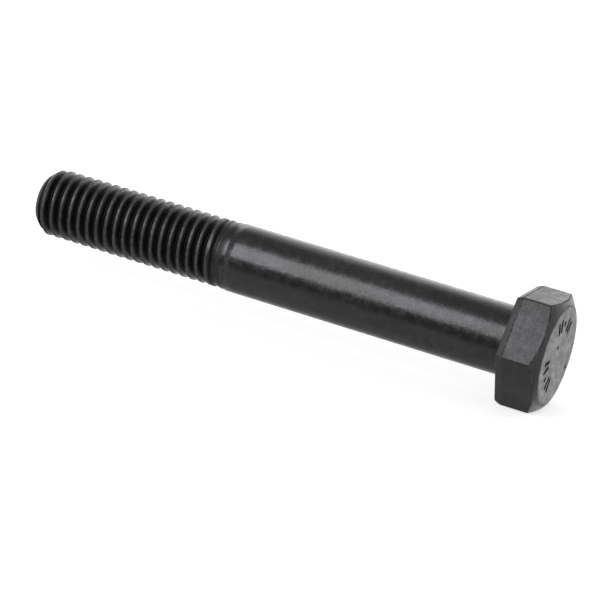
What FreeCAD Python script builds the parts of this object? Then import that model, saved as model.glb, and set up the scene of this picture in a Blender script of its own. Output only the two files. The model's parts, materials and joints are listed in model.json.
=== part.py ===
"""Hex head bolt, M12 x 90, part threaded, made as one forging with a rolled thread.

Frame: the origin is the centre of the bearing face under the head, on the bolt's axis. +X runs along
the axis towards the top of the head, so the shank and the point lie on the -X side. One flat of the
hexagon faces +Z.
"""
import FreeCAD, Part
import math
import os

# Driving dimensions, in millimetres and degrees.
LENGTH = 88.5                # bearing face to the end of the point; a 90 mm bolt may be 88.25 to 91.75
THREAD_LENGTH = 32.5         # full threads, measured from the point; 30 nominal, up to two pitches more
PITCH = 1.75
MAJOR_RADIUS = 5.88          # over the thread's crests
SHANK_RADIUS = 6.0           # plain part, a little over the crests, as on a bolt with a rolled thread
ACROSS_FLATS = 18.9
HEAD_HEIGHT = 7.5
CORNER_RADIUS = 0.6          # along the six long edges of the hexagon
BEARING_TAPER_LENGTH = 1.1   # along the axis, where the hexagon narrows towards the bearing face
BEARING_TAPER_DEPTH = 0.35   # how much each flat has moved in at the bearing face
TOP_CIRCLE_RADIUS = 8.6      # flat round face on top of the head
CHAMFER_ANGLE = 32.0         # of the head's top chamfer, from the plane of the top face
CHAMFER_CROWN = 0.06         # how far the chamfer bulges above a true cone over its width
TOP_EDGE_RADIUS = 0.3        # between the top face and its chamfer
UNDERHEAD_FILLET = 0.6
RUNOUT_LENGTH = 4.0          # run-out and neck between the full thread and the shank
NECK_RADIUS = 5.6            # narrowest part of the blank, where the thread runs out
NECK_CONE_LENGTH = 0.9
POINT_LENGTH = 2.2           # of the rounded chamfer at the end of the thread
POINT_RADIUS = 4.1           # flat end face inside that chamfer
POINT_CROWN = 0.18           # how far the chamfer bulges above a true cone
THREAD_START_ANGLE = 44.0    # turns the helix about the axis

# Thread form, from the pitch: 60 degree flanks, a flat crest of P/8 and a round root.
TRIANGLE_HEIGHT = math.sqrt(3) / 2 * PITCH
FLANK_DEPTH = 5 / 8 * TRIANGLE_HEIGHT
ROOT_HALF_WIDTH = PITCH / 8
ROOT_EXTRA_DEPTH = PITCH / 16
CUTTER_OVERHANG = 0.05 * PITCH
THREAD_START = -LENGTH
FULL_THREAD_END = THREAD_START + THREAD_LENGTH
NECK_END = FULL_THREAD_END + RUNOUT_LENGTH

X_AXIS = FreeCAD.Vector(1, 0, 0)
ORIGIN = FreeCAD.Vector(0, 0, 0)


def revolved(points_and_arcs):
    """Solid of revolution about the X axis.

    Each entry is either (x, r), the end of a straight line, or ((x, r), (x, r)), the middle and the
    end of an arc. The first entry is the start of the outline.
    """
    edges = []
    here = FreeCAD.Vector(points_and_arcs[0][0], 0, points_and_arcs[0][1])
    start = here
    for entry in points_and_arcs[1:]:
        if isinstance(entry[0], tuple):
            middle = FreeCAD.Vector(entry[0][0], 0, entry[0][1])
            there = FreeCAD.Vector(entry[1][0], 0, entry[1][1])
            edges.append(Part.Arc(here, middle, there).toShape())
        else:
            there = FreeCAD.Vector(entry[0], 0, entry[1])
            edges.append(Part.LineSegment(here, there).toShape())
        here = there
    edges.append(Part.LineSegment(here, start).toShape())
    face = Part.Face(Part.Wire(edges))
    return face.revolve(ORIGIN, X_AXIS, 360)


def hexagon_outline(x, inset):
    """Closed outline at one place on the axis: six straight flats joined by six corner arcs.

    The flats are moved in by inset from their full size, and one of them faces +Z.
    """
    flat_distance = ACROSS_FLATS / 2 - inset
    centre_distance = (flat_distance - CORNER_RADIUS) / math.cos(math.radians(30))

    def on_corner(corner_angle, angle):
        y = centre_distance * math.cos(corner_angle) + CORNER_RADIUS * math.cos(angle)
        z = centre_distance * math.sin(corner_angle) + CORNER_RADIUS * math.sin(angle)
        return FreeCAD.Vector(x, y, z)

    edges = []
    half_arc = math.radians(30)
    for i in range(6):
        corner = math.radians(60 * i)
        next_corner = math.radians(60 * (i + 1))
        arc_start = on_corner(corner, corner - half_arc)
        arc_middle = on_corner(corner, corner)
        arc_end = on_corner(corner, corner + half_arc)
        next_start = on_corner(next_corner, next_corner - half_arc)
        edges.append(Part.Arc(arc_start, arc_middle, arc_end).toShape())
        edges.append(Part.LineSegment(arc_end, next_start).toShape())
    return Part.Wire(edges)


def hexagon_prism():
    """The head before its top is chamfered, a little narrower at the bearing face."""
    bearing_outline = hexagon_outline(0, BEARING_TAPER_DEPTH)
    full_outline = hexagon_outline(BEARING_TAPER_LENGTH, 0)
    tapered = Part.makeLoft([bearing_outline, full_outline], True, True)
    straight = Part.Face(full_outline).extrude(X_AXIS * (HEAD_HEIGHT - BEARING_TAPER_LENGTH))
    return tapered.fuse(straight).removeSplitter()


def head():
    """Hexagon with a crowned conical chamfer that leaves a round top face."""
    outer_radius = ACROSS_FLATS * 0.6
    slope = math.radians(CHAMFER_ANGLE)
    chamfer_drop = (outer_radius - TOP_CIRCLE_RADIUS) * math.tan(slope)
    chamfer_middle = (
        HEAD_HEIGHT - chamfer_drop / 2 + CHAMFER_CROWN * math.cos(slope),
        (outer_radius + TOP_CIRCLE_RADIUS) / 2 + CHAMFER_CROWN * math.sin(slope),
    )
    turned = revolved([
        (-1.0, 0.0),
        (-1.0, outer_radius),
        (HEAD_HEIGHT - chamfer_drop, outer_radius),
        (chamfer_middle, (HEAD_HEIGHT, TOP_CIRCLE_RADIUS)),
        (HEAD_HEIGHT, 0.0),
    ])
    top_edges = []
    for edge in turned.Edges:
        box = edge.BoundBox
        if box.XMin > HEAD_HEIGHT - 1e-6 and abs(box.ZMax - TOP_CIRCLE_RADIUS) < 1e-3:
            top_edges.append(edge)
    return hexagon_prism().common(turned.makeFillet(TOP_EDGE_RADIUS, top_edges))


def shank_blank():
    """Everything below the head before the thread is formed: fillet, shank, neck and point."""
    fillet_middle = UNDERHEAD_FILLET * (1 - math.sqrt(0.5))
    point_start = THREAD_START + POINT_LENGTH
    point_slope = math.atan2(MAJOR_RADIUS - POINT_RADIUS, POINT_LENGTH)
    point_middle = (
        THREAD_START + POINT_LENGTH / 2 - POINT_CROWN * math.sin(point_slope),
        (MAJOR_RADIUS + POINT_RADIUS) / 2 + POINT_CROWN * math.cos(point_slope),
    )
    return revolved([
        (1.0, 0.0),
        (1.0, SHANK_RADIUS + UNDERHEAD_FILLET),
        (0.0, SHANK_RADIUS + UNDERHEAD_FILLET),
        ((-fillet_middle, SHANK_RADIUS + fillet_middle), (-UNDERHEAD_FILLET, SHANK_RADIUS)),
        (NECK_END, SHANK_RADIUS),
        (NECK_END - NECK_CONE_LENGTH, NECK_RADIUS),
        (FULL_THREAD_END, MAJOR_RADIUS),
        (point_start, MAJOR_RADIUS),
        (point_middle, (THREAD_START, POINT_RADIUS)),
        (THREAD_START, 0.0),
    ])


def thread_groove():
    """Helical cutter for the right-hand thread, with a half turn that leaves the surface at the end."""
    depth_at_root = MAJOR_RADIUS - FLANK_DEPTH
    lip = MAJOR_RADIUS + CUTTER_OVERHANG * math.sqrt(3)
    lip_half_width = 7 / 16 * PITCH + CUTTER_OVERHANG
    turns = math.ceil(THREAD_LENGTH / PITCH) + 1
    start = -PITCH
    left = FreeCAD.Vector(depth_at_root, 0, start - ROOT_HALF_WIDTH)
    bottom = FreeCAD.Vector(depth_at_root - ROOT_EXTRA_DEPTH, 0, start)
    right = FreeCAD.Vector(depth_at_root, 0, start + ROOT_HALF_WIDTH)
    outer_right = FreeCAD.Vector(lip, 0, start + lip_half_width)
    outer_left = FreeCAD.Vector(lip, 0, start - lip_half_width)
    section = Part.Wire([
        Part.Arc(left, bottom, right).toShape(),
        Part.LineSegment(right, outer_right).toShape(),
        Part.LineSegment(outer_right, outer_left).toShape(),
        Part.LineSegment(outer_left, left).toShape(),
    ])
    main_path = Part.makeLongHelix(PITCH, turns * PITCH, MAJOR_RADIUS, 0, False)
    main_path.translate(FreeCAD.Vector(0, 0, start))
    rise = FLANK_DEPTH + ROOT_EXTRA_DEPTH + CUTTER_OVERHANG
    exit_path = Part.makeHelix(PITCH, PITCH / 2, MAJOR_RADIUS + rise / 2, 0, False)
    exit_path.translate(FreeCAD.Vector(-rise / 2, 0, start + turns * PITCH))
    sweep = Part.BRepOffsetAPI.MakePipeShell(Part.Wire([*main_path.Edges, exit_path.Edges[0]]))
    sweep.setFrenetMode(True)
    sweep.setTransitionMode(1)
    sweep.add(section)
    sweep.build()
    sweep.makeSolid()
    groove = sweep.shape()
    groove.rotate(ORIGIN, FreeCAD.Vector(0, 1, 0), 90)
    groove.rotate(ORIGIN, X_AXIS, THREAD_START_ANGLE)
    groove.translate(FreeCAD.Vector(THREAD_START, 0, 0))
    return groove


def hex_bolt():
    bolt = head().fuse(shank_blank()).removeSplitter()
    return bolt.cut(thread_groove())


def main():
    os.makedirs("parts", exist_ok=True)
    bolt = hex_bolt()
    print("valid", bolt.isValid(), "solids", len(bolt.Solids))
    print("volume", round(bolt.Volume, 1), "box", bolt.BoundBox)
    bolt.exportStep("parts/hex_bolt.step")


main()
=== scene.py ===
"""Looks of the hex head bolt: one detailed steel body in place of the plain one, and a small studio.

Lengths in the constants are millimetres and angles are degrees, unless a comment says otherwise. The
mesh is written in metres, in the frame of the CAD model: +X runs along the axis towards the top of the
head, and one flat of the hexagon faces up (+Z). An angle about the axis is measured from +Y to +Z.
"""
import json
import math

import bpy
import numpy as np
from mathutils import Matrix, Vector, geometry, noise


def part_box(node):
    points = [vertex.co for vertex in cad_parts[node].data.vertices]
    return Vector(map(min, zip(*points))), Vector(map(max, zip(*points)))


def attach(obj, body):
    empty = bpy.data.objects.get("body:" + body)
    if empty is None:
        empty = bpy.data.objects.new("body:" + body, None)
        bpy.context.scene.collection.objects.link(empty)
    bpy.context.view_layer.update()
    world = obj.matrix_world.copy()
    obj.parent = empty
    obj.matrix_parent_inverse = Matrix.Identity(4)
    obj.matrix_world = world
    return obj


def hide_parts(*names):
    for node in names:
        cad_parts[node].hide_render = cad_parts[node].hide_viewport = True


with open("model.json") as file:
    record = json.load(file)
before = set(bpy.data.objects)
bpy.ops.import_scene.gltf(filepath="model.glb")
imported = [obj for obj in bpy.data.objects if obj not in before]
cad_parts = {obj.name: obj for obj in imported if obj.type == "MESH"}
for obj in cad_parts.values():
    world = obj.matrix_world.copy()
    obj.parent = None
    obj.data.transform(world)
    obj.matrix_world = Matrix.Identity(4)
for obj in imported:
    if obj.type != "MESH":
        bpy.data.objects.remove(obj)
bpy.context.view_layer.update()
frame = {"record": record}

MM = 0.001
mounts = {mount["name"]: mount for mount in frame["record"]["mounts"]}
low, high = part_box("hex_bolt")

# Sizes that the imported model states.
TIP_X = low.x / MM
HEAD_HEIGHT = high.x / MM
ACROSS_FLATS = 2 * high.z / MM
SHANK_RADIUS = mounts["shank"]["dims"]["r_mm"]
MAJOR_RADIUS = mounts["thread"]["dims"]["r_mm"]

# Head.
CORNER_RADIUS = 0.6
TOP_CIRCLE_RADIUS = 8.6
CHAMFER_SLOPE = 32.0
TAPER_LENGTH = 1.15          # the flats draw in towards the bearing face over this length
TAPER_DEPTH = 0.42
FILLET_END_X = -1.2
PATCH_RADIUS = 7.7           # inside this the top face is its own fine mesh, which holds the marks

# Columns of the mesh.
CORNER_SPREAD = 1.62         # half the angle that a rounded corner of the hexagon takes up
CORNER_STEPS = 4             # steps in that angle
FLAT_STEPS = 16              # steps along a flat

# How rubbed the edges of each sixth of the head are: some have seen more handling than others.
FLAT_WEAR = (0.5, 0.75, 1.0, 0.45, 0.6, 0.4)

# Bends of the head's outline: the length taken from the line before and from the line after, the
# steps, and the wear.
HEAD_BENDS = (
    (0.35, 0.3, 6, 0.5),     # top face to chamfer
    (0.22, 0.22, 6, 1.0),    # chamfer to flat
    (0.22, 0.2, 4, 0.9),     # flat to taper
    (0.3, 0.35, 6, 0.8),     # taper to bearing face
    (0.6, 0.6, 7, 0.0),      # bearing face to shank
)

# Rows on the straight lines before, between and after those bends, as shares of the way.
HEAD_SHARES = (
    (0.0, 0.3, 0.6, 0.85),
    (0.06, 0.25, 0.5, 0.75, 0.94),
    (0.015, 0.05, 0.14, 0.26, 0.38, 0.5, 0.62, 0.74, 0.86, 0.94, 0.985),
    (0.1, 0.5, 0.9),
    (0.03, 0.1, 0.3, 0.5, 0.7, 0.9, 0.97),
    (0.3, 1.0),
)
SHANK_ROW_SPACING = 1.4

# Neck and point.
NECK_START = -51.9
NECK_DEEP = -53.5
NECK_RADIUS = 5.66
HELIX_ROWS_START = NECK_START + 0.4    # from here to the tip the rows of the mesh follow the helix
THREAD_FACE = -53.45                   # from here to THREAD_FULL the blank rises to the crests' radius
THREAD_FULL = -53.95
POINT_LENGTH = 2.2
POINT_RADIUS = 4.1
POINT_CROWN = 0.18
POINT_WEAR = 0.5
END_DISH = 0.12
END_SHARES = (0.97, 0.9, 0.7, 0.4, 0.15)
END_WEAR = 0.1

# Thread. Widths across a groove are in pitches from its centre.
PITCH = 1.75
GROOVE_PHASE = 0.295         # from the tip to a groove's centre at angle 0
THREAD_DEPTH = 0.96
ROOT_HALF_WIDTH = 0.08
ROOT_RISE = 0.35 * ROOT_HALF_WIDTH * PITCH    # of the rounded root, up to the foot of the flanks
FLANK_SLOPE = math.sqrt(3)                    # 60 degrees between two flanks
CREST_ROUNDING = 0.2
ROW_PATTERN = (0.0, 0.05, 0.09, 0.14, 0.2, 0.26, 0.31, 0.35, 0.39, 0.43, 0.465)
GROOVE_FADE_START = -55.5
GROOVE_FADE_END = -53.1

# Crests: a raised lip on each side, a broken seam along the middle and slight roughness.
CREST_EDGE = (0.33, 0.4)
LIP_PLACE = 0.42
LIP_WIDTH = 0.04
LIP_HEIGHT = 0.02
SEAM_PLACE = 0.5
SEAM_WIDTH = 0.035
SEAM_DEPTH = 0.06
SEAM_PATCH_SIZE = 6.0
SEAM_SEED = 3.0
SEAM_BREAKS = (-0.25, 0.35)  # noise levels at which the seam is gone, and whole
ROUGH_SIZE = 1.1
ROUGH_SEED = 7.0
ROUGH_HEIGHT = 0.015
CREST_WEAR = 0.5
SEAM_WEAR_LOSS = 0.4

# Painted shade, a darker colour where little light gets in: the grooves and, less so, the neck.
GROOVE_SHADE_EDGE = (0.12, 0.33)
GROOVE_SHADE_ALONG = (-53.0, -54.4)
NECK_SHADE = 0.5
NECK_SHADE_RUN = 0.5         # length over which the neck's shade sets in

# Top face and its marks.
TOP_FINE = 0.11
TOP_COARSE = 0.55
TOP_ROW_RATIO = 0.87         # spacing of the grid's rows over that of its columns
TOP_MARGIN = 0.12
TOP_SINK = 0.012             # keeps the waves under the level of the head's top
TOP_WAVES = ((0.012, 0.35, 1.7), (0.006, 1.3, 4.1))    # height, waves per millimetre, seed
TOP_WAVE_FADE = 1.2
MARK_DEPTH = 0.2
MARK_WALL = 0.12
MARK_EDGE = -0.05
MARK_RIM_WIDTH = 0.08
MARK_RIM_WEAR = 0.35
BAR_HALF_WIDTH = 0.26
DOT_HALF_WIDTH = 0.2

# Studio, in metres.
SOFTBOX_PLACE = (-0.43, -0.66, 0.5)
SOFTBOX_AIM = (-0.03, 0, 0)
SOFTBOX_SIZE = (0.6, 0.72)
SOFTBOX_RADIANCE = 1.95
CARD_PLACE = (-0.25, -0.95, -0.08)
CARD_SIZE = (1.6, 0.67)
CARD_STRENGTH = 0.14
FLOOR_HALF_SIZE = 3.0
FLOOR_STRENGTH = 0.6

# Camera: where it looks, from which side and how far.
CAMERA_TARGET = Vector((-38.77, 0.0, -3.95)) * MM
CAMERA_AZIMUTH = 19.67
CAMERA_ELEVATION = 15.88
CAMERA_ROLL = 11.62
CAMERA_DISTANCE = 578.3 * MM
CAMERA_LENS = 204.0
CAMERA_SENSOR = 36.0


def smooth_step(value, edge_0, edge_1):
    """0 at edge_0 and before, 1 at edge_1 and beyond, and a smooth rise between."""
    t = np.clip((value - edge_0) / (edge_1 - edge_0), 0.0, 1.0)
    return t * t * (3 - 2 * t)


def bell(value, middle, width):
    """1 at the middle, and close to 0 two widths away."""
    return math.exp(-((value - middle) / width) ** 2)


def smaller(a, b, rounding):
    """The smaller of two heights, with the crease between them rounded."""
    h = np.clip(0.5 + 0.5 * (b - a) / rounding, 0.0, 1.0)
    return b * (1 - h) + a * h - rounding * h * (1 - h)


def polar(radius, degrees):
    """The place at a radius and an angle on the top face."""
    angle = math.radians(degrees)
    return Vector((radius * math.cos(angle), radius * math.sin(angle)))


# Plain bars and dots sunk in the top face, which stand for no maker, grade or letter. Each has its
# two ends and its half width.
MARKS = (
    [(polar(4.6, angle), polar(6.3, angle), BAR_HALF_WIDTH) for angle in (114, 101, 66, 53)]
    + [(polar(4.3, angle), polar(6.0, angle), BAR_HALF_WIDTH) for angle in (184, 198, 236, 250)]
    + [(polar(5.4, angle), polar(5.6, angle), BAR_HALF_WIDTH) for angle in (84, 217)]
    + [(polar(1.6, 118), polar(1.9, 118), DOT_HALF_WIDTH)]
    + [(polar(7.0, -28), polar(7.2, -28), DOT_HALF_WIDTH)]
)


def column_angles():
    """Angles of the mesh's columns, close together round the six corners of the hexagon."""
    angles = []
    for sector in range(6):
        corner = 60.0 * sector
        for step in range(-CORNER_STEPS, CORNER_STEPS + 1):
            angles.append(corner + CORNER_SPREAD * step / CORNER_STEPS)
        free = 60.0 - 2 * CORNER_SPREAD
        for step in range(1, FLAT_STEPS):
            share = step / FLAT_STEPS
            eased = 0.5 - 0.5 * math.cos(math.pi * share)
            angles.append(corner + CORNER_SPREAD + free * (0.7 * share + 0.3 * eased))
    return np.radians(np.array(angles))


ANGLES = column_angles()
COLUMNS = len(ANGLES)


def hexagon_radius(angles, inset=0.0):
    """Distance from the axis to the hexagon's outline, with its corners rounded."""
    flat = ACROSS_FLATS / 2 - inset
    from_flat = angles % (math.pi / 3) - math.pi / 6
    straight = flat / np.cos(from_flat)
    centre = (flat - CORNER_RADIUS) / math.cos(math.pi / 6)
    from_corner = math.pi / 6 - np.abs(from_flat)
    inside = np.maximum(CORNER_RADIUS ** 2 - (centre * np.sin(from_corner)) ** 2, 0.0)
    rounded = centre * np.cos(from_corner) + np.sqrt(inside)
    straight_until = math.atan((flat - CORNER_RADIUS) * math.tan(math.pi / 6) / flat)
    return np.where(np.abs(from_flat) > straight_until, rounded, straight)


def bent(before, corner, after, reach_in, reach_out, steps, wear):
    """Rows of a rounded bend at corner, each an (x, r, worn) triple of per-column arrays."""
    def towards(end, reach):
        dx, dr = end[0] - corner[0], end[1] - corner[1]
        length = np.hypot(dx, dr)
        return corner[0] + dx / length * reach, corner[1] + dr / length * reach

    first = towards(before, reach_in)
    last = towards(after, reach_out)
    sixths = (np.degrees(ANGLES) % 360 // 60).astype(int)
    flat_wear = np.array(FLAT_WEAR)[sixths]
    rows = []
    for step in range(steps + 1):
        t = step / steps
        x, r = (
            (1 - t) ** 2 * first[axis] + 2 * t * (1 - t) * corner[axis] + t * t * last[axis]
            for axis in (0, 1)
        )
        rows.append((x, r, wear * math.sin(math.pi * t) * flat_wear))
    return rows


def between(start, end, shares):
    """Rows on the straight line between two rows, at the given shares of the way."""
    rows = []
    for share in shares:
        x, r = (start[axis] + (end[axis] - start[axis]) * share for axis in (0, 1))
        rows.append((x, r, np.zeros(COLUMNS)))
    return rows


def head_rows():
    """Rows from the rim of the top face's fine mesh, over the chamfer and the flats, to the shank."""
    ones = np.ones(COLUMNS)
    outer = hexagon_radius(ANGLES)
    slope = math.tan(math.radians(CHAMFER_SLOPE))
    outline = [
        (HEAD_HEIGHT * ones, PATCH_RADIUS * ones),
        (HEAD_HEIGHT * ones, TOP_CIRCLE_RADIUS * ones),
        (HEAD_HEIGHT - (outer - TOP_CIRCLE_RADIUS) * slope, outer),
        (TAPER_LENGTH * ones, outer),
        (0.0 * ones, hexagon_radius(ANGLES, TAPER_DEPTH)),
        (0.0 * ones, SHANK_RADIUS * ones),
        (FILLET_END_X * ones, SHANK_RADIUS * ones),
    ]
    rows = []
    start = outline[0]
    for index, bend_sizes in enumerate(HEAD_BENDS):
        bend = bent(*outline[index:index + 3], *bend_sizes)
        rows += between(start, bend[0], HEAD_SHARES[index])
        rows += bend
        start = bend[-1]
    rows += between(start, outline[-1], HEAD_SHARES[-1])
    return rows


def shank_rows(start, end):
    """Evenly spaced rows of the plain shank, after start and up to end."""
    count = math.ceil((start - end) / SHANK_ROW_SPACING)
    ones = np.ones(COLUMNS)
    rows = []
    for step in range(1, count + 1):
        x = start + (end - start) * step / count
        rows.append((x * ones, SHANK_RADIUS * ones, 0.0 * ones))
    return rows


def blank_radius(x):
    """Radius of the turned shape that the thread is rolled into: neck, threaded length and point."""
    neck = SHANK_RADIUS - (SHANK_RADIUS - NECK_RADIUS) * smooth_step(x, NECK_START, NECK_DEEP)
    rise = (MAJOR_RADIUS - NECK_RADIUS) * smooth_step(x, THREAD_FACE, THREAD_FULL)
    radius = neck + rise
    along = np.clip((x - TIP_X) / POINT_LENGTH, 0.0, 1.0)
    cone = POINT_RADIUS + (MAJOR_RADIUS - POINT_RADIUS) * along
    point = cone + 4 * POINT_CROWN * along * (1 - along)
    return np.where(x < TIP_X + POINT_LENGTH, np.minimum(radius, point), radius)


def threaded_radius(x, from_groove):
    """Radius of the plain thread form, from_groove pitches away from the groove's centre."""
    groove_x = x - from_groove * PITCH
    fade = (GROOVE_FADE_END - groove_x) / (GROOVE_FADE_END - GROOVE_FADE_START)
    depth = THREAD_DEPTH * np.clip(fade, 0.0, 1.0)
    distance = abs(from_groove)
    if distance < ROOT_HALF_WIDTH:
        rise = ROOT_RISE * (distance / ROOT_HALF_WIDTH) ** 2
    else:
        rise = ROOT_RISE + (distance - ROOT_HALF_WIDTH) * PITCH * FLANK_SLOPE
    return float(smaller(blank_radius(x), MAJOR_RADIUS - depth + rise, CREST_ROUNDING))


def crest_noise(x, angle, size, seed):
    """A smooth random value at a place on the crests. size is that of its bumps."""
    y = math.cos(angle) * MAJOR_RADIUS
    z = math.sin(angle) * MAJOR_RADIUS
    return noise.noise(Vector((x / size, y / size + seed, z / size)))


def thread_details(x, angle, from_groove):
    """Height that the crests' lips, seam and roughness add, the place's worn value, and its painted
    shade.
    """
    distance = abs(from_groove)
    in_thread = smooth_step(x, THREAD_FACE, THREAD_FULL)
    crest = smooth_step(distance, *CREST_EDGE) * in_thread
    lip = bell(distance, LIP_PLACE, LIP_WIDTH)
    seam = bell(distance, SEAM_PLACE, SEAM_WIDTH) * crest
    seam *= smooth_step(crest_noise(x, angle, SEAM_PATCH_SIZE, SEAM_SEED), *SEAM_BREAKS)
    rough = crest_noise(x, angle, ROUGH_SIZE, ROUGH_SEED)
    height = crest * (LIP_HEIGHT * lip - SEAM_DEPTH * seam + ROUGH_HEIGHT * rough)
    worn = crest * (CREST_WEAR - SEAM_WEAR_LOSS * seam)
    # Painted shade: the grooves and the neck are darkened in colour, as if little light reached them.
    in_groove = 1.0 - smooth_step(distance, *GROOVE_SHADE_EDGE)
    in_groove *= smooth_step(x, *GROOVE_SHADE_ALONG)
    in_neck = smooth_step(x, NECK_START, NECK_START - NECK_SHADE_RUN) * (1 - in_thread)
    return height, float(worn), float(max(in_groove, NECK_SHADE * in_neck))


class Mesh:
    """Vertices, faces and the two values kept with each vertex: worn bright, and painted shade where
    little light gets in.
    """

    def __init__(self):
        self.points = []
        self.faces = []
        self.worn = []
        self.hidden = []

    def add(self, x, r, angle, worn=0.0, hidden=0.0):
        self.points.append((x * MM, r * math.cos(angle) * MM, r * math.sin(angle) * MM))
        self.worn.append(worn)
        self.hidden.append(hidden)
        return len(self.points) - 1

    def ring(self, row):
        xs, rs, worn = row
        return [self.add(xs[j], rs[j], ANGLES[j], worn[j]) for j in range(COLUMNS)]

    def join(self, upper, lower):
        """Faces between two rings, where upper is nearer the head."""
        for j in range(COLUMNS):
            k = (j + 1) % COLUMNS
            self.face((upper[j], lower[j], lower[k], upper[k]))

    def face(self, corners):
        """A face, without the corners that fall on the corner before them."""
        kept = [c for index, c in enumerate(corners) if c != corners[index - 1]]
        if len(kept) >= 3:
            self.faces.append(tuple(kept))


def add_thread(mesh, start_ring):
    """Rows that follow the helix, from start_ring to the end face. Returns the ring at the end face."""
    pattern = sorted({*ROW_PATTERN, *(-share for share in ROW_PATTERN), 0.5}, reverse=True)
    per_turn = len(pattern)
    groove_at_zero = TIP_X + GROOVE_PHASE
    turn = math.ceil((HELIX_ROWS_START - groove_at_zero) / PITCH) + 1
    rows = []
    while groove_at_zero + (turn + 1.5) * PITCH > TIP_X:
        rows += [(groove_at_zero + (turn + share) * PITCH, share) for share in pattern]
        turn -= 1
    while rows[per_turn][0] >= HELIX_ROWS_START:
        rows.pop(0)
    tip_ring = [mesh.add(TIP_X, POINT_RADIUS, angle, POINT_WEAR) for angle in ANGLES]

    def vertex(row, column):
        """The row's vertex in that column, or the end ring's where the row runs past the thread."""
        at_zero, from_groove = rows[row]
        angle = ANGLES[column]
        x = at_zero + PITCH * angle / (2 * math.pi)
        if x >= HELIX_ROWS_START:
            return start_ring[column]
        if x <= TIP_X:
            return tip_ring[column]
        height, worn, hidden = thread_details(x, angle, from_groove)
        radius = min(threaded_radius(x, from_groove) + height, MAJOR_RADIUS)
        return mesh.add(x, radius, angle, worn, hidden)

    columns = [[vertex(row, column) for row in range(len(rows))] for column in range(COLUMNS)]
    for column, here in enumerate(columns):
        # A full turn brings a row to the first column's row of one turn before.
        last = column + 1 == COLUMNS
        there = columns[0] if last else columns[column + 1]
        shift = per_turn if last else 0
        for row in range(len(rows) - 1):
            upper = max(row - shift, 0)
            lower = max(row + 1 - shift, 0)
            mesh.face((here[row], here[row + 1], there[lower], there[upper]))
    return tip_ring


def add_end_face(mesh, ring):
    """The slightly dished end of the point."""
    previous = ring
    for share in END_SHARES:
        x = TIP_X + END_DISH * (1 - share) ** 0.5
        current = [mesh.add(x, POINT_RADIUS * share, angle, END_WEAR) for angle in ANGLES]
        mesh.join(previous, current)
        previous = current
    centre = mesh.add(TIP_X + END_DISH, 0.0, 0.0, END_WEAR)
    for j in range(COLUMNS):
        mesh.face((previous[j], centre, previous[(j + 1) % COLUMNS]))


def mark_distance(place):
    """Distance from a place on the top face to the nearest mark, negative inside it."""
    nearest = math.inf
    for start, end, half_width in MARKS:
        along = end - start
        share = max(0.0, min(1.0, (place - start).dot(along) / along.length_squared))
        nearest = min(nearest, (place - start - along * share).length - half_width)
    return nearest


def top_face_places(rim):
    """Places for the top face's vertices: those of the rim, then a grid that is fine round the marks."""
    places = list(rim)
    steps = int(PATCH_RADIUS / TOP_FINE)
    every = round(TOP_COARSE / TOP_FINE)
    for row in range(-steps, steps + 1):
        for column in range(-steps, steps + 1):
            across = column * TOP_FINE + (row % 2) * TOP_FINE / 2
            place = Vector((across, row * TOP_FINE * TOP_ROW_RATIO))
            if place.length > PATCH_RADIUS - TOP_MARGIN:
                continue
            near = mark_distance(place) < MARK_WALL + TOP_MARGIN
            if near or (row % every == 0 and column % every == 0):
                places.append(place)
    return places


def top_face_wave(place):
    """Slight unevenness of the forged top face, which fades out at the rim."""
    wave = 0.0
    for height, rate, seed in TOP_WAVES:
        wave += height * noise.noise(Vector((place.x * rate, place.y * rate, seed)))
    return wave * (1 - smooth_step(place.length, PATCH_RADIUS - TOP_WAVE_FADE, PATCH_RADIUS))


def add_top_face(mesh, ring):
    """Triangles that fill the top face inside ring, with the marks sunk in it and painted shade in their
    hollows.
    """
    places = top_face_places(Vector(mesh.points[index][1:]) / MM for index in ring)
    edges = [(j, (j + 1) % COLUMNS) for j in range(COLUMNS)]
    points, _, faces, originals, _, _ = geometry.delaunay_2d_cdt(places, edges, [], 1, 1e-6)
    index_of = []
    for point, sources in zip(points, originals):
        if sources and sources[0] < COLUMNS:
            index_of.append(ring[sources[0]])
            continue
        from_mark = mark_distance(point)
        depth = MARK_DEPTH * (1 - float(smooth_step(from_mark, MARK_EDGE, MARK_WALL)))
        x = HEAD_HEIGHT - depth - TOP_SINK + top_face_wave(point)
        angle = math.atan2(point.y, point.x)
        worn = MARK_RIM_WEAR * bell(from_mark, MARK_WALL, MARK_RIM_WIDTH)
        # Painted shade: the deeper a place in a mark, the darker its colour.
        index_of.append(mesh.add(x, point.length, angle, worn, depth / MARK_DEPTH))
    for corners in faces:
        a, b, c = (index_of[corner] for corner in corners)
        mesh.face((a, b, c))


def new_object(name, data):
    """An object with that data, linked to the scene."""
    made = bpy.data.objects.new(name, data)
    bpy.context.scene.collection.objects.link(made)
    return made


def new_quad(name, corners):
    """An object that is one flat four-sided face."""
    data = bpy.data.meshes.new(name)
    data.from_pydata(corners, [], [(0, 1, 2, 3)])
    return new_object(name, data)


def bolt_object():
    """The whole bolt as one closed mesh."""
    mesh = Mesh()
    rows = head_rows()
    rings = [mesh.ring(row) for row in rows]
    for row in shank_rows(float(rows[-1][0][0]), HELIX_ROWS_START):
        rings.append(mesh.ring(row))
    for upper, lower in zip(rings, rings[1:]):
        mesh.join(upper, lower)
    add_top_face(mesh, rings[0])
    tip_ring = add_thread(mesh, rings[-1])
    add_end_face(mesh, tip_ring)

    data = bpy.data.meshes.new("bolt_body")
    data.from_pydata(mesh.points, [], mesh.faces)
    data.validate()
    for name, values in (("worn", mesh.worn), ("hidden", mesh.hidden)):
        layer = data.attributes.new(name, "FLOAT", "POINT")
        layer.data.foreach_set("value", values)
    data.shade_smooth()
    data.update()
    return new_object("bolt_body", data)


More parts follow.
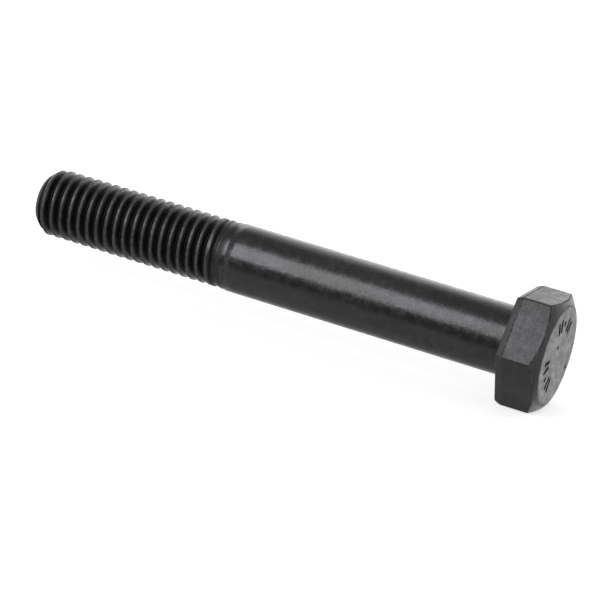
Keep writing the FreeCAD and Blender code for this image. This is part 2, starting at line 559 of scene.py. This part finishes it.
class Nodes:
    """Short ways to add and link the nodes of one tree."""

    def __init__(self, tree):
        self.tree = tree

    def add(self, kind, inputs=(), **settings):
        node = self.tree.nodes.new(kind)
        for name, value in settings.items():
            setattr(node, name, value)
        for key, value in inputs:
            if isinstance(value, bpy.types.NodeSocket):
                self.tree.links.new(value, node.inputs[key])
            else:
                node.inputs[key].default_value = value
        return node

    def noise(self, place, scale, detail=2.0, roughness=0.5):
        inputs = (("Vector", place), ("Scale", scale), ("Detail", detail), ("Roughness", roughness))
        return self.add("ShaderNodeTexNoise", inputs).outputs[0]

    def stretched(self, place, scale):
        inputs = (("Vector", place), ("Scale", scale))
        return self.add("ShaderNodeMapping", inputs).outputs["Vector"]

    def ranged(self, value, from_low, from_high, to_low, to_high):
        """The value moved smoothly from one range to another, and held at the ends."""
        inputs = (("Value", value), ("From Min", from_low), ("From Max", from_high),
                  ("To Min", to_low), ("To Max", to_high))
        node = self.add("ShaderNodeMapRange", inputs, interpolation_type="SMOOTHSTEP")
        return node.outputs["Result"]

    def math(self, operation, first, second):
        inputs = ((0, first), (1, second))
        return self.add("ShaderNodeMath", inputs, operation=operation).outputs[0]

    def mix(self, share, first, second):
        """Share of the second colour mixed into the first."""
        inputs = ((0, share), (6, first), (7, second))
        return self.add("ShaderNodeMix", inputs, data_type="RGBA").outputs[2]

    def attribute(self, name):
        return self.add("ShaderNodeAttribute", attribute_name=name).outputs["Fac"]


def grey(level, red=0.0, blue=0.0):
    """A grey colour, with its red and blue raised by those shares."""
    return (level * (1 + red), level, level * (1 + blue), 1.0)


OXIDE = grey(0.084, 0.03, 0.02)
OXIDE_BLUISH = grey(0.098, 0.02, 0.07)
OXIDE_PALE = grey(0.12, 0.03, 0.06)
STREAK_GREY = grey(0.16, 0.02, 0.02)
OIL_BROWN = (0.1, 0.078, 0.055, 1.0)
BARE_STEEL = grey(0.24, 0.02, 0.0)
# SHADED is the colour of the painted shade.
SHADED = grey(0.02, 0.05, 0.0)


def new_material(name):
    """A material with its Principled shader."""
    material = bpy.data.materials.new(name)
    material.use_nodes = True
    return material, material.node_tree.nodes["Principled BSDF"]


def steel_material():
    """Black-oxide steel: dark, softly shiny, with rubbed edges and crests, a little oil-brown, and
    painted shade in the grooves, the neck and the marks.
    """
    material, shader = new_material("black_oxide_steel")
    nodes = Nodes(material.node_tree)
    links = material.node_tree.links
    place = nodes.add("ShaderNodeTexCoord").outputs["Object"]
    worn = nodes.attribute("worn")
    hidden = nodes.attribute("hidden")

    # Masks along the axis, in metres: 1 on the head, and 1 at the tip.
    along = nodes.add("ShaderNodeSeparateXYZ", (("Vector", place),)).outputs["X"]
    head = nodes.ranged(along, -0.0006, 0.0, 0.0, 1.0)
    tip = nodes.ranged(along, -0.0885, -0.081, 1.0, 0.0)

    # Textures, with scales per metre. Patches run along the bolt and streaks run round it.
    grain = nodes.noise(place, 2600.0, 2.0, 0.6)
    blotches = nodes.noise(place, 700.0, 3.0, 0.6)
    patches = nodes.noise(nodes.stretched(place, (90.0, 260.0, 260.0)), 1.0, 3.0, 0.55)
    streaks = nodes.noise(nodes.stretched(place, (3000.0, 220.0, 220.0)), 1.0, 3.0, 0.6)
    streaks = nodes.math("MULTIPLY", nodes.ranged(streaks, 0.42, 0.75, 0.0, 1.0), head)
    speckle = nodes.noise(place, 1500.0, 3.0, 0.7)

    colour = nodes.mix(nodes.ranged(patches, 0.35, 0.65, 0.0, 1.0), OXIDE, OXIDE_BLUISH)
    colour = nodes.mix(nodes.ranged(blotches, 0.45, 0.75, 0.0, 0.6), colour, OXIDE_PALE)
    colour = nodes.mix(nodes.math("MULTIPLY", streaks, 0.28), colour, STREAK_GREY)
    oiled = nodes.math("MULTIPLY", nodes.ranged(patches, 0.5, 0.62, 0.0, 0.7), tip)
    colour = nodes.mix(oiled, colour, OIL_BROWN)
    rubbed = nodes.math("MULTIPLY", worn, nodes.ranged(speckle, 0.4, 0.62, 0.05, 1.0))
    colour = nodes.mix(rubbed, colour, BARE_STEEL)
    # Painted shade: the grooves, the neck and the sunk marks are darkened towards SHADED.
    colour = nodes.mix(nodes.math("MULTIPLY", hidden, 0.85), colour, SHADED)
    links.new(colour, shader.inputs["Base Color"])

    roughness = nodes.math("ADD", nodes.ranged(blotches, 0.3, 0.7, 0.2, 0.32),
                           nodes.ranged(grain, 0.3, 0.7, -0.04, 0.06))
    for mask, added in ((head, 0.16), (worn, 0.5), (hidden, 0.3)):
        roughness = nodes.math("ADD", roughness, nodes.math("MULTIPLY", mask, added))
    links.new(roughness, shader.inputs["Roughness"])

    height = nodes.math("MULTIPLY", grain, 0.15)
    for texture, share in ((streaks, 0.15), (blotches, 0.85), (patches, 2.4)):
        height = nodes.math("ADD", height, nodes.math("MULTIPLY", texture, share))
    relief = (("Height", height), ("Strength", 1.0), ("Distance", 0.00003))
    bump = nodes.add("ShaderNodeBump", relief)
    links.new(bump.outputs["Normal"], shader.inputs["Normal"])
    shader.inputs["Metallic"].default_value = 1.0
    return material


def add_floor():
    """A pale matt floor at the height of the lowest flat, which shiny surfaces don't mirror."""
    signs = ((-1, -1), (1, -1), (1, 1), (-1, 1))
    floor = new_quad("floor", [(a * FLOOR_HALF_SIZE, b * FLOOR_HALF_SIZE, low.z) for a, b in signs])
    material, shader = new_material("pale_floor")
    shader.inputs["Base Color"].default_value = (0.9, 0.9, 0.9, 1)
    shader.inputs["Roughness"].default_value = 0.9
    shader.inputs["Emission Color"].default_value = (1, 1, 1, 1)
    shader.inputs["Emission Strength"].default_value = FLOOR_STRENGTH
    floor.data.materials.append(material)
    floor.visible_glossy = False


def add_softbox():
    """The one lamp: a large soft rectangle in front of the bolt, above it and to its left."""
    width, height = SOFTBOX_SIZE
    data = bpy.data.lights.new("front_softbox", "AREA")
    data.shape = "RECTANGLE"
    data.size, data.size_y = width, height
    data.energy = SOFTBOX_RADIANCE * math.pi * width * height
    lamp = new_object("front_softbox", data)
    direction = Vector(SOFTBOX_AIM) - Vector(SOFTBOX_PLACE)
    lamp.location = SOFTBOX_PLACE
    lamp.rotation_euler = direction.to_track_quat("-Z", "Y").to_euler()


def add_card():
    """A dark card in front of the bolt, square to Y, that only shiny surfaces see."""
    x, y, z = CARD_PLACE
    half_x, half_z = CARD_SIZE[0] / 2, CARD_SIZE[1] / 2
    signs = ((-1, -1), (1, -1), (1, 1), (-1, 1))
    card = new_quad("front_card", [(x + a * half_x, y, z + b * half_z) for a, b in signs])
    material, shader = new_material("front_card")
    shader.inputs["Base Color"].default_value = (0, 0, 0, 1)
    shader.inputs["Emission Color"].default_value = (1, 1, 1, 1)
    shader.inputs["Emission Strength"].default_value = CARD_STRENGTH
    card.data.materials.append(material)
    card.visible_camera = False
    card.visible_diffuse = False
    card.visible_shadow = False


def add_world():
    """Soft surroundings: bright behind the bolt, dimmer overhead and below."""
    world = bpy.data.worlds.new("studio")
    world.use_nodes = True
    nodes = Nodes(world.node_tree)
    background = world.node_tree.nodes["Background"]
    direction = nodes.add("ShaderNodeTexCoord").outputs["Generated"]
    parts = nodes.add("ShaderNodeSeparateXYZ", (("Vector", direction),)).outputs
    base = nodes.math("SUBTRACT", nodes.ranged(parts["Z"], -0.3, 0.0, 0.42, 0.6),
                      nodes.ranged(parts["Z"], 0.25, 0.55, 0.0, 0.28))
    behind = nodes.math("MULTIPLY", nodes.ranged(parts["Y"], 0.35, 0.9, 0.0, 1.25),
                        nodes.ranged(parts["X"], 0.3, 0.75, 1.0, 0.0))
    lower_left = nodes.math("MULTIPLY", nodes.ranged(parts["Z"], -0.2, 0.1, 1.0, 0.0),
                            nodes.ranged(parts["X"], -0.15, 0.2, 1.0, 0.0))
    shade = nodes.math("SUBTRACT", 1.0, nodes.math("MULTIPLY", lower_left, 0.75))
    strength = nodes.math("ADD", base, nodes.math("MULTIPLY", behind, shade))
    world.node_tree.links.new(strength, background.inputs["Strength"])
    background.inputs["Color"].default_value = (1, 1, 1, 1)
    bpy.context.scene.world = world


def add_camera():
    """The camera, rolled so that the bolt lies aslant in the frame."""
    azimuth, elevation = math.radians(CAMERA_AZIMUTH), math.radians(CAMERA_ELEVATION)
    forward = Vector((
        -math.sin(azimuth) * math.cos(elevation),
        math.cos(azimuth) * math.cos(elevation),
        -math.sin(elevation),
    ))
    right = forward.cross(Vector((0, 0, 1))).normalized()
    up = right.cross(forward)
    turn = Matrix.Rotation(math.radians(-CAMERA_ROLL), 3, forward)
    right, up = turn @ right, turn @ up
    data = bpy.data.cameras.new("camera")
    data.lens = CAMERA_LENS
    data.sensor_width = CAMERA_SENSOR
    data.clip_start, data.clip_end = 0.01, 20
    camera = new_object("camera", data)
    axes = Matrix((right, up, -forward)).transposed().to_4x4()
    camera.matrix_world = Matrix.Translation(CAMERA_TARGET - forward * CAMERA_DISTANCE) @ axes
    bpy.context.scene.camera = camera


bolt = bolt_object()
bolt.data.materials.append(steel_material())
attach(bolt, "root")
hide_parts("hex_bolt")

add_floor()
add_world()
add_softbox()
add_card()
add_camera()
bpy.context.scene.view_settings.view_transform = "Standard"
